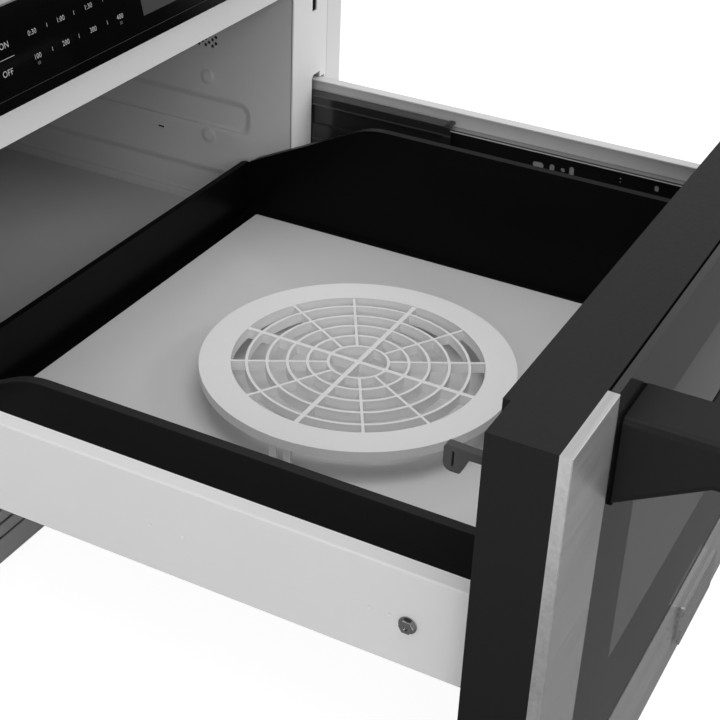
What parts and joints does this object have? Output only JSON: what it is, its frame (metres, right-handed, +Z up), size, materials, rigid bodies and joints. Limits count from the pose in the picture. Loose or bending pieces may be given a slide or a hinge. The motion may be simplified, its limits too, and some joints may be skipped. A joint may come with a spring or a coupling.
{
  "type": "microwave drawer",
  "caption": "Built-in drawer microwave oven whose door, tray and slides pull out of a boxed cavity, with a round rack on the tray and a leaning control panel.",
  "frame": {"origin": "centre of the base plate's underside", "axes": "+X to the right seen from the front, -Y out of the front (the way the drawer opens), +Z up; stored with the drawer fully open"},
  "size_m": [0.606, 1.0378, 0.403],
  "materials": {
    "stainless": "fine horizontal brush",
    "grille_steel": "dark brushed",
    "sheet_steel": "galvanised sheet",
    "light_paint": "semi-matte light grey",
    "liner_paint": "semi-matte mid grey",
    "tray_enamel": "gloss black enamel",
    "slide_paint": "gloss black",
    "handle_paint": "matte black",
    "door_plastic": "dark grey",
    "housing_plastic": "mid grey",
    "hook_plastic": "dark grey",
    "rack_plastic": "white",
    "board_plastic": "circuit board green",
    "motor_plastic": "black",
    "switch_plastic": "red",
    "black_glass": "gloss",
    "display_glass": "gloss",
    "floor_ceramic": "white glass ceramic",
    "clear_glass": "clear",
    "mica": "mica board",
    "copper": "enamelled copper wire",
    "core_steel": "varnished laminations",
    "aluminium": "bright",
    "screw_steel": "zinc plated",
    "gasket_rubber": "black",
    "lamp_glass": "frosted"
  },
  "bodies": {
    "case": {"base_plate": "sheet_steel", "outer_wrapper": "sheet_steel", "rear_panel": "sheet_steel", "case_screws": "screw_steel", "front_frame": "light_paint", "vent_grille": "grille_steel", "side_trim_left": "light_paint", "side_trim_right": "light_paint", "cavity_liner": "liner_paint", "cavity_lamp": "lamp_glass", "waveguide": "sheet_steel", "waveguide_cover": "mica", "stirrer_motor": "motor_plastic", "magnetron": "aluminium", "transformer_core": "core_steel", "transformer_coils": "copper", "capacitor": "aluminium", "fan_housing": "motor_plastic", "cord_inlet": "motor_plastic", "panel_housing": "housing_plastic", "control_glass": "black_glass", "display_lens": "display_glass", "control_board": "board_plastic", "case_rail_left": "slide_paint", "case_rail_right": "slide_paint", "slide_bracket_left": "sheet_steel", "slide_bracket_right": "sheet_steel", "drive_motor": "motor_plastic", "latch_board_left": "hook_plastic", "latch_board_right": "hook_plastic"},
    "drawer": {"tray_shell": "tray_enamel", "floor_glass": "floor_ceramic", "side_panel_left": "light_paint", "side_panel_right": "light_paint", "drawer_rail_left": "slide_paint", "drawer_rail_right": "slide_paint", "drive_rack": "rack_plastic", "door_body": "door_plastic", "choke_cover": "door_plastic", "door_screen": "sheet_steel", "inner_window": "clear_glass", "door_frame": "stainless", "door_glass": "black_glass", "handle_bar": "handle_paint", "handle_post_left": "handle_paint", "handle_post_right": "handle_paint", "handle_gaskets": "gasket_rubber", "badge_plate": "stainless", "hook_pins": "screw_steel", "panel_screws": "screw_steel"},
    "stirrer": {"stirrer_blade": "aluminium"},
    "fan": {"fan_blade": "motor_plastic"},
    "pinion": {"drive_pinion": "rack_plastic"},
    "plunger_left": {"switch_plunger_left": "switch_plastic"},
    "plunger_right": {"switch_plunger_right": "switch_plastic"},
    "middle_left": {"middle_rail_left": "slide_paint"},
    "middle_right": {"middle_rail_right": "slide_paint"},
    "hook_left": {"latch_hook_left": "hook_plastic"},
    "hook_right": {"latch_hook_right": "hook_plastic"},
    "rack": {"round_rack": "rack_plastic"}
  },
  "joints": [
    {"name": "drawer_slide", "type": "slide", "parent": "case", "child": "drawer", "axis": [0, 1, 0], "range_m": [0, 0.391]},
    {"name": "middle_slide_left", "type": "slide", "parent": "case", "child": "middle_left", "axis": [0, 1, 0], "range_m": [0, 0.1955]},
    {"name": "middle_slide_right", "type": "slide", "parent": "case", "child": "middle_right", "axis": [0, 1, 0], "range_m": [0, 0.1955]},
    {"name": "pinion_turn", "type": "hinge", "parent": "case", "child": "pinion", "pos_m": [0.2675, -0.2568, 0.13323], "axis": [-1, 0, 0], "range_deg": [-1, 1868]},
    {"name": "hook_turn_left", "type": "hinge", "parent": "drawer", "child": "hook_left", "pos_m": [-0.2575, -0.6898, 0.283], "axis": [1, 0, 0], "range_deg": [0, 14], "stiffness_Nm_per_rad": 0.05, "springref_deg": -22.92},
    {"name": "hook_turn_right", "type": "hinge", "parent": "drawer", "child": "hook_right", "pos_m": [0.2575, -0.6898, 0.283], "axis": [1, 0, 0], "range_deg": [0, 14], "stiffness_Nm_per_rad": 0.05, "springref_deg": -22.92},
    {"name": "plunger_push_left", "type": "slide", "parent": "case", "child": "plunger_left", "axis": [0, 1, 0], "range_m": [0, 0.002], "stiffness_N_per_m": 200},
    {"name": "plunger_push_right", "type": "slide", "parent": "case", "child": "plunger_right", "axis": [0, 1, 0], "range_m": [0, 0.002], "stiffness_N_per_m": 200},
    {"name": "stirrer_spin", "type": "hinge", "parent": "case", "child": "stirrer", "pos_m": [0, -0.0554, 0.32], "axis": [0, 0, 1], "continuous": true},
    {"name": "fan_spin", "type": "hinge", "parent": "case", "child": "fan", "pos_m": [-0.17, 0.255, 0.15], "axis": [0, 1, 0], "continuous": true},
    {"name": "rack_lift", "type": "slide", "parent": "drawer", "child": "rack", "axis": [0, 0, 1], "range_m": [0, 0.15]}
  ],
  "couplings": [
    {"joint": "middle_slide_left", "follows": "drawer_slide", "ratio": 0.5},
    {"joint": "middle_slide_right", "follows": "drawer_slide", "ratio": 0.5},
    {"joint": "pinion_turn", "follows": "drawer_slide", "rad_per_m": 83.333}
  ]
}
